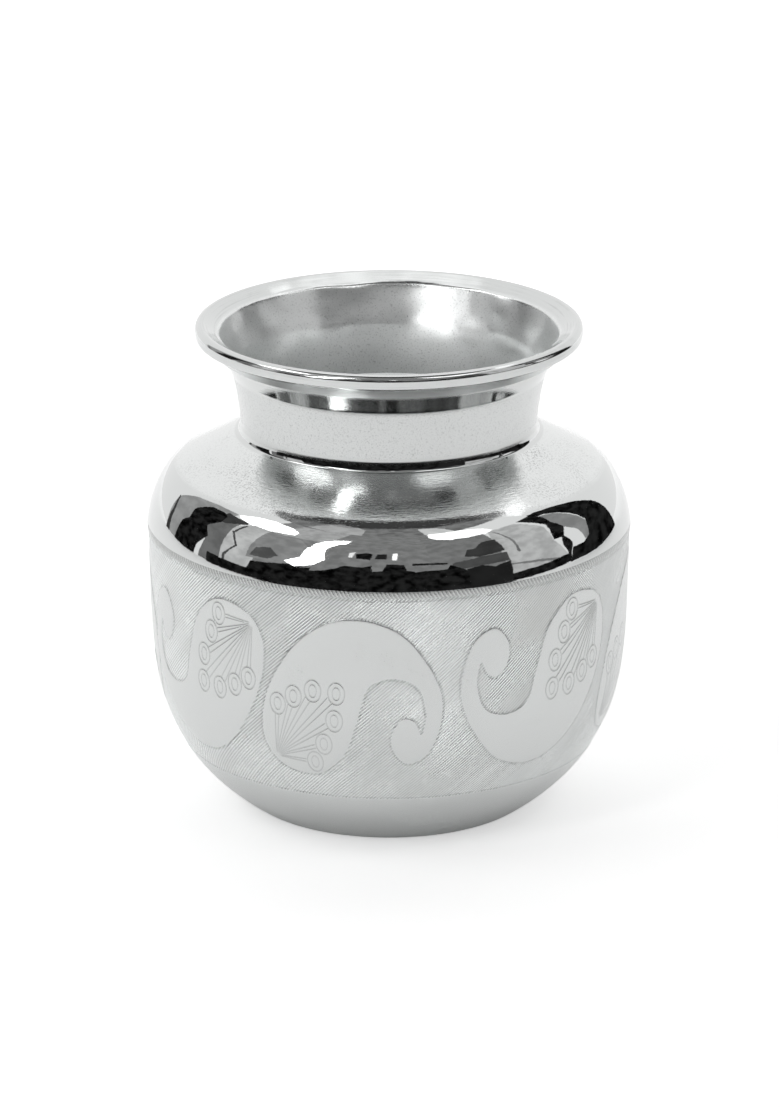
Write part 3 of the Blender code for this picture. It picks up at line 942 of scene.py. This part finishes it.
# Studio: white table, cards and soft boxes round the pot
studio = {
    "eyeHeight": 68.0 * mm,  # the shoulder's, from which the cards' turns and rises are seen
    "floorFront": 0.81,
    "floorSide": 1.0,
    "floorBack": 1.5,
    "floorColour": (0.86, 0.86, 0.86, 1.0),
    "floorRoughness": 0.6,
    "floorGlow": 0.38,
    "floorGlowSeen": 0.5,  # for the camera, so that the table is as white as its background
    "farGlowSeen": 0.9,
    "farStart": (300.0, 700.0),  # millimetres from the pot's axis between which the glow seen changes
    "footShade": 0.12,  # what is left of the glow under the pot, for its reflections: a painted shadow of the pot
    "footReach": (22.0, 62.0),
    "ceilingHeight": 1.5,
    "ceilingRadius": 0.86,
    "ceilingSteps": 48,
    "ceilingTone": 0.24,
    "ceilingPatches": (0.3, 0.008),  # how far soft patches go from a tone, and how fine they are
    "hungHeight": 1.47,
    "hungPatches": (0.1, 0.008),
    "cardPatches": (0.16, 0.008),
    "darkTone": 0.02,  # what is darker than this has the clutter of a dark corner
    "darkPatches": (0.9, 0.018),
}
black = (0.0, 0.0, 0.0, 1.0)
white = (1.0, 1.0, 1.0, 1.0)


def plainLight(name, tone, strength, patchy, fineness):
    # a tone that changes in soft patches, as the things in a room do
    finish = Finish(name)
    patches = finish.ease(finish.noise(finish.vector(*finish.place()), fineness, 3.0), 0.3, 0.7)
    low, high = tone * (1.0 - patchy), tone * (1.0 + patchy)
    colour = finish.blend(patches, (low, low, low, 1.0), (high, high, high, 1.0))
    finish.shade({"Base Color": black, "Specular IOR Level": 0.0,
                  "Emission Color": colour, "Emission Strength": strength})
    return finish.material


def stageUnseen(piece, tone, strength, patches):
    # seen in the pot's reflections, not by the camera
    piece.data.materials.append(plainLight(piece.name + "_tone", tone, strength, *patches))
    piece.visible_camera = False


def flatCard(name, points):
    card = drawLine(name, points, True)
    editAll()
    bpy.ops.mesh.edge_face_add()
    bpy.ops.mesh.quads_convert_to_tris()
    bpy.ops.object.mode_set(mode="OBJECT")
    return card


def cutCard(name, tone, near, outline, strength=1.0):
    # a flat card cut to an outline of turns and rises in degrees, square to the pot at its middle turn
    turns = [turn for turn, _ in outline]
    middle = math.radians((min(turns) + max(turns)) / 2)
    facing = np.array([math.sin(middle), -math.cos(middle), 0.0])
    sideways = np.array([math.cos(middle), math.sin(middle), 0.0])
    points = []
    for turn, rise in outline:
        away = math.radians(turn) - middle
        height = studio["eyeHeight"] + near / math.cos(away) * math.tan(math.radians(rise))
        points.append(tuple(facing * near + sideways * near * math.tan(away) + (0.0, 0.0, height)))
    patches = studio["darkPatches"] if tone < studio["darkTone"] else studio["cardPatches"]
    stageUnseen(flatCard(name, points), tone, strength, patches)


def oblong(turns, rises):
    return ((turns[0], rises[0]), (turns[1], rises[0]), (turns[1], rises[1]), (turns[0], rises[1]))


print("studio")
bpy.ops.object.select_all(action="DESELECT")
bpy.ops.mesh.primitive_plane_add(size=1.0, location=(0.0, 0.0, 0.0))
table = bpy.context.active_object
table.name = "table"
table.scale = (2 * studio["floorSide"], studio["floorFront"] + studio["floorBack"], 1.0)
table.location.y = (studio["floorBack"] - studio["floorFront"]) / 2
bpy.ops.object.transform_apply(location=True, rotation=True, scale=True)
tableFinish = Finish("white_table")
tableX, tableY, _ = tableFinish.place()
fromPot = (tableX * tableX + tableY * tableY).root()
seen = tableFinish.node("ShaderNodeLightPath", {}, {}, "Is Camera Ray")
# painted shadow of the pot in the table's glow, seen only in reflections
paintedFootShadow = tableFinish.ease(fromPot, *studio["footReach"], studio["footShade"])
farWhite = tableFinish.ease(fromPot, *studio["farStart"], studio["floorGlowSeen"], studio["farGlowSeen"])
glow = seen * farWhite + (1.0 - seen) * paintedFootShadow * studio["floorGlow"]
tableFinish.shade({"Base Color": studio["floorColour"], "Roughness": studio["floorRoughness"],
                   "Metallic": 0.0, "Specular IOR Level": 0.0,
                   "Emission Color": tableFinish.blend(glow, black, white), "Emission Strength": 1.0})
table.data.materials.append(tableFinish.material)

ceilingLine = [(radius, 0.0, studio["ceilingHeight"]) for radius in (0.0, studio["ceilingRadius"])]
ceiling = drawLine("ceiling", ceilingLine)
editAll()
bpy.ops.mesh.spin(steps=studio["ceilingSteps"], angle=2 * math.pi, center=(0.0, 0.0, 0.0),
                  axis=(0.0, 0.0, 1.0))
bpy.ops.mesh.remove_doubles(threshold=mm)
bpy.ops.object.mode_set(mode="OBJECT")
stageUnseen(ceiling, studio["ceilingTone"], 1.0, studio["ceilingPatches"])

# name, tone and outline of what hangs under the ceiling: a lamp behind the pot, a dark shade over it and
# two paler stretches in front
hungCards = (
    ("ceiling_lamp", 1.25, ((0.0, 0.27), (0.3, 0.29), (0.55, 0.38), (0.62, 0.6), (0.3, 0.84),
     (-0.3, 0.84), (-0.62, 0.6), (-0.55, 0.38), (-0.3, 0.29))),
    ("ceiling_shade", 0.06, ((0.0, -0.42), (0.36, -0.36), (0.66, 0.1), (0.62, 0.3), (0.3, 0.26),
     (0.0, 0.25), (-0.3, 0.26), (-0.62, 0.3), (-0.66, 0.1), (-0.36, -0.36))),
    ("ceiling_left", 0.55, ((-0.363, -0.169), (-0.725, -0.338), (-0.60, -0.60), (-0.287, -0.80),
     (-0.20, -0.50), (-0.244, -0.38))),
    ("ceiling_right", 0.8, ((0.377, -0.773), (0.24, -0.449), (0.26, -0.42), (0.40, -0.38),
     (0.659, -0.553))),
)
for name, tone, outline in hungCards:
    points = [(x, y, studio["hungHeight"]) for x, y in outline]
    stageUnseen(flatCard(name, points), tone, 1.0, studio["hungPatches"])

# name, tone, distance, outline, and the strength where it isn't 1
cards = (
    # front wall, in three flat stretches
    ("front_wall_left", 0.30, 1.25, oblong((-80.0, -40.0), (-3.0, 60.0))),
    ("front_wall_middle", 0.27, 1.25, oblong((-42.0, 22.0), (-3.0, 60.0))),
    ("front_wall_right", 0.25, 1.25, oblong((20.0, 58.0), (-3.0, 60.0))),
    ("upper_left_wall", 0.52, 1.15, ((-66, 40), (-34, 42), (-27, 60), (-66, 60))),
    # dark things along the front of the table
    ("dark_left", 0.013, 0.80, ((-70, -4.8), (-40, -4.8), (-36, 13), (-41, 12), (-47, 13), (-54, 11),
     (-60, 9), (-66, 8))),
    ("dark_middle", 0.013, 0.79, ((-42, -4.7), (-8, -4.7), (-8, 20), (-13, 18), (-21, 18.5), (-25, 15),
     (-31, 12), (-38, 10))),
    ("dark_stand", 0.013, 0.78, ((-10, -4.7), (14, -4.7), (12, 14), (8, 15), (7, 21), (-1, 22), (-3, 15),
     (-9, 14))),
    ("dark_right", 0.013, 0.79, ((12, -4.7), (38, -4.7), (36, 11), (29, 18), (27, 14), (19, 14),
     (12, 13.5))),
    ("dark_bar", 0.013, 0.78, ((11, 20), (27, 18.5), (28, 20), (18, 21.5), (11, 22))),
    ("dark_far_right", 0.02, 0.80, ((36, -4.8), (58, -4.8), (58, 12), (50, 10), (44, 13), (36, 12))),
    ("grey_far_right", 0.09, 0.84, ((30, 12), (44, 13), (58, 12), (58, 20), (44, 21), (30, 19))),
    ("chair_right", 0.055, 0.85, ((37, 24), (44, 21), (58, 22), (58, 36), (50, 36), (44, 31), (40, 31))),
    ("dark_square_left", 0.01, 0.84, ((-16, 27), (-9, 26), (-8, 33), (-11, 34), (-17, 32))),
    ("dark_square_right", 0.02, 0.84, ((-7, 27), (-1, 27), (-1, 33), (-6, 33))),
    ("window_left", 1.0, 0.83, ((-20, 28), (-18, 28), (-17, 34), (-20, 33)), 1.3),
    ("window_right", 1.0, 0.83, ((1.5, 26), (4.0, 26), (4.5, 34), (2.0, 34)), 1.6),
    ("streak_top", 1.0, 0.76, ((-22, 48), (-24, 44), (-28, 42), (-33, 34), (-41, 32), (-41, 37),
     (-37, 43), (-30, 47)), 5.0),
    ("streak_foot", 1.0, 0.77, ((-33, 35), (-31, 22), (-36, 16), (-44, 12), (-50, 15), (-43, 21),
     (-42, 33)), 5.0),
    ("left_speckle", 0.34, 0.86, ((-70, 10), (-52, 12), (-44, 22), (-43, 34), (-50, 40), (-62, 38),
     (-70, 42))),
    ("left_dark_spot", 0.12, 0.85, ((-68, 12), (-58, 13), (-54, 18), (-60, 24), (-67, 20))),
    ("dark_low_left", 0.012, 0.80, oblong((-92.0, -68.0), (-4.6, 1.5))),
    ("dark_low_right", 0.012, 0.80, oblong((57.0, 92.0), (-4.6, 0.8))),
    # right side
    ("right_pale", 0.62, 0.97, ((56, -4), (92, -4), (85, 15), (88, 30), (82, 46), (62, 47), (56, 34))),
    ("right_edge_line", 0.22, 0.90, ((64, 17), (65.2, 17), (66.5, 30), (64.2, 45), (63.4, 45), (65, 30))),
    ("right_low_line", 0.24, 0.90, ((58, 8), (72, 4), (92, -3), (92, -1.6), (73, 5.4), (58, 9.2))),
    ("right_dark", 0.013, 0.62, ((84, 46), (97, 46), (96, 38), (93, 30), (95, 20), (91, 14), (94, 6),
     (90, -3), (88, 8), (89, 14), (84, 15), (86, 22), (89, 30))),
    ("right_dark_far", 0.013, 0.60, ((96, 47), (104, 46), (112, 41), (119, 32), (124, 17), (128, 2),
     (131, -6.8), (110, -6.4), (90, -5.0), (93, 3), (101, 2), (106, 4), (109, 14), (107, 24), (104, 34),
     (100, 40), (96, 41))),
    ("right_patch", 0.34, 0.66, ((93, 30), (95, 20), (101, 12), (103, 3), (108, 4), (109, 14), (106, 26),
     (103, 36), (97, 41))),
    # left side
    ("left_pale", 0.68, 0.95, ((-90, -4), (-66, -4), (-66, 41), (-82, 40), (-88, 30))),
    ("left_edge_line", 0.08, 0.90, ((-84, 36), (-85.2, 25), (-78, 15), (-83, 5), (-82, -3), (-80.6, -3),
     (-81.4, 5), (-76.6, 15), (-83.6, 25), (-82.6, 36))),
    ("left_grey", 0.20, 0.94, ((-102, 38), (-104, 20), (-96, 8), (-98, -4), (-84, -4), (-86, 20),
     (-88, 38))),
    ("left_grey_top", 0.06, 0.92, ((-104, 38), (-101, 26), (-94, 28), (-85, 37), (-86, 39))),
    ("left_black", 0.013, 0.88, ((-118, -4.5), (-116, 8), (-113, 13), (-116, 22), (-113, 33), (-105, 36),
     (-99, 34), (-96, 27), (-100, 18), (-95, 11), (-100, 2), (-101, -4.5))),
    ("left_edge", 0.40, 0.93, ((-128, -4.5), (-131, 15), (-127, 27), (-117, 37), (-100, 42), (-98, 36),
     (-112, 34), (-112, -4.5))),
    ("left_outline", 0.05, 0.90, ((-128, -4.5), (-124, -4.5), (-126, 8), (-130.2, 15), (-131.6, 15.5),
     (-127.6, 6))),
    # soft boxes
    ("left_box", 1.0, 1.05, ((-100, 42), (-95, 50), (-85, 53), (-65, 52), (-57, 48), (-57, 44), (-68, 42),
     (-72, 40), (-84, 39), (-95, 40)), 4.0),
    ("right_box", 1.0, 1.05, ((26, 54), (28, 59), (42, 60), (56, 58), (66, 53), (67, 48), (60, 46),
     (48, 46), (37, 47), (29, 50)), 2.2),
    ("rear_box", 1.0, 1.05, oblong((100.0, 146.0), (50.0, 56.0)), 1.5),
)
for card in cards:
    cutCard(*card)

world = bpy.data.worlds.new("white_room")
bpy.context.scene.world = world
world.use_nodes = True
roomLight = world.node_tree.nodes["Background"].inputs
roomLight["Color"].default_value = white
roomLight["Strength"].default_value = 1.0

# Camera of the photograph
photoCamera = {
    "rise": 18.33,
    "distance": 1.4,
    "aimHeight": 57.29 * mm,
    "aimSide": 0.23 * mm,
    "lens": 200.0,
    "sensorHeight": 36.0,
    "clipStart": 0.05,
}
cameraRise = math.radians(photoCamera["rise"])
cameraData = bpy.data.cameras.new("photo_camera")
cameraData.lens = photoCamera["lens"]
cameraData.sensor_fit = "VERTICAL"
cameraData.sensor_height = photoCamera["sensorHeight"]
cameraData.clip_start = photoCamera["clipStart"]
camera = bpy.data.objects.new("photo_camera", cameraData)
bpy.context.scene.collection.objects.link(camera)
camera.location = (photoCamera["aimSide"], -photoCamera["distance"] * math.cos(cameraRise),
                   photoCamera["aimHeight"] + photoCamera["distance"] * math.sin(cameraRise))
camera.rotation_euler = (math.pi / 2 - cameraRise, 0.0, 0.0)
bpy.context.scene.camera = camera
bpy.context.scene.view_settings.view_transform = "Standard"
